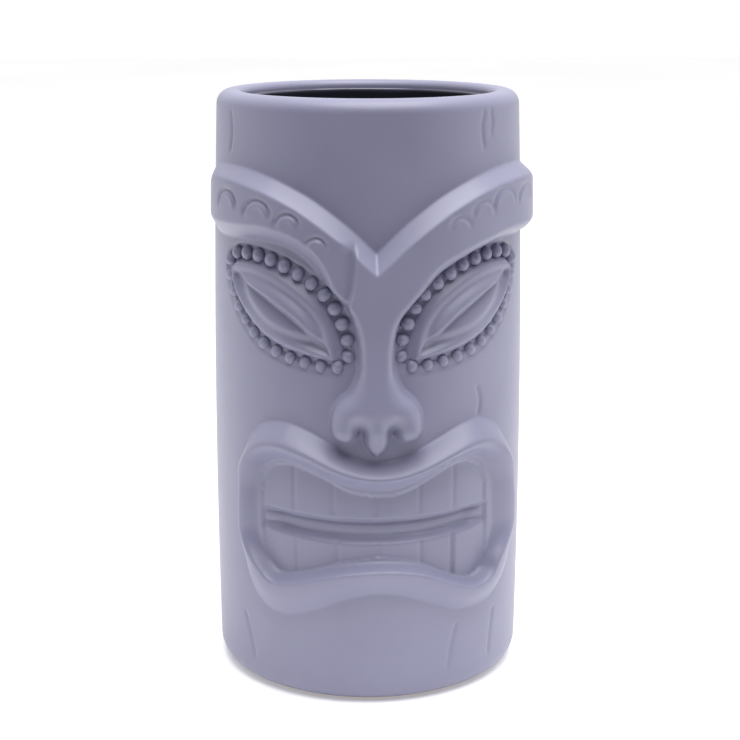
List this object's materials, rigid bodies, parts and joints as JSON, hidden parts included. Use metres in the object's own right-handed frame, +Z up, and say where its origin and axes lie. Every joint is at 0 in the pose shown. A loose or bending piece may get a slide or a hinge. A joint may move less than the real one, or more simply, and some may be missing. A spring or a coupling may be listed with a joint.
{
  "type": "tiki mug",
  "caption": "Tall straight-sided ceramic tiki mug with a scowling mask in relief: V-shaped brows, bead-ringed slit eyes, winged nose and a wide bared-teeth mouth",
  "frame": {"origin": "centre of the flat base, on the cup's axis", "axes": "+Z runs up the cup's axis to the open rim; -Y is the way the face looks; +X is to the right of someone facing the mask"},
  "size_m": [0.0832, 0.0873, 0.152],
  "materials": {
    "satin_glaze": "smooth grey-lavender satin-matte glaze",
    "lining_glaze": "glossier grey-lavender glaze poured inside"
  },
  "bodies": {
    "root": {"mug_body": "satin_glaze", "glaze_lining": "lining_glaze", "nose_bridge": "satin_glaze", "nose": "satin_glaze", "upper_lip": "satin_glaze", "lower_lip": "satin_glaze", "left_brow": "satin_glaze", "right_brow": "satin_glaze", "left_eye_beads": "satin_glaze", "right_eye_beads": "satin_glaze", "left_upper_lid": "satin_glaze", "left_lower_lid": "satin_glaze", "right_upper_lid": "satin_glaze", "right_lower_lid": "satin_glaze", "upper_tooth_1": "satin_glaze", "upper_tooth_2": "satin_glaze", "upper_tooth_3": "satin_glaze", "upper_tooth_4": "satin_glaze", "upper_tooth_5": "satin_glaze", "upper_tooth_6": "satin_glaze", "lower_tooth_1": "satin_glaze", "lower_tooth_2": "satin_glaze", "lower_tooth_3": "satin_glaze", "lower_tooth_4": "satin_glaze", "lower_tooth_5": "satin_glaze", "lower_tooth_6": "satin_glaze"}
  },
  "joints": []
}
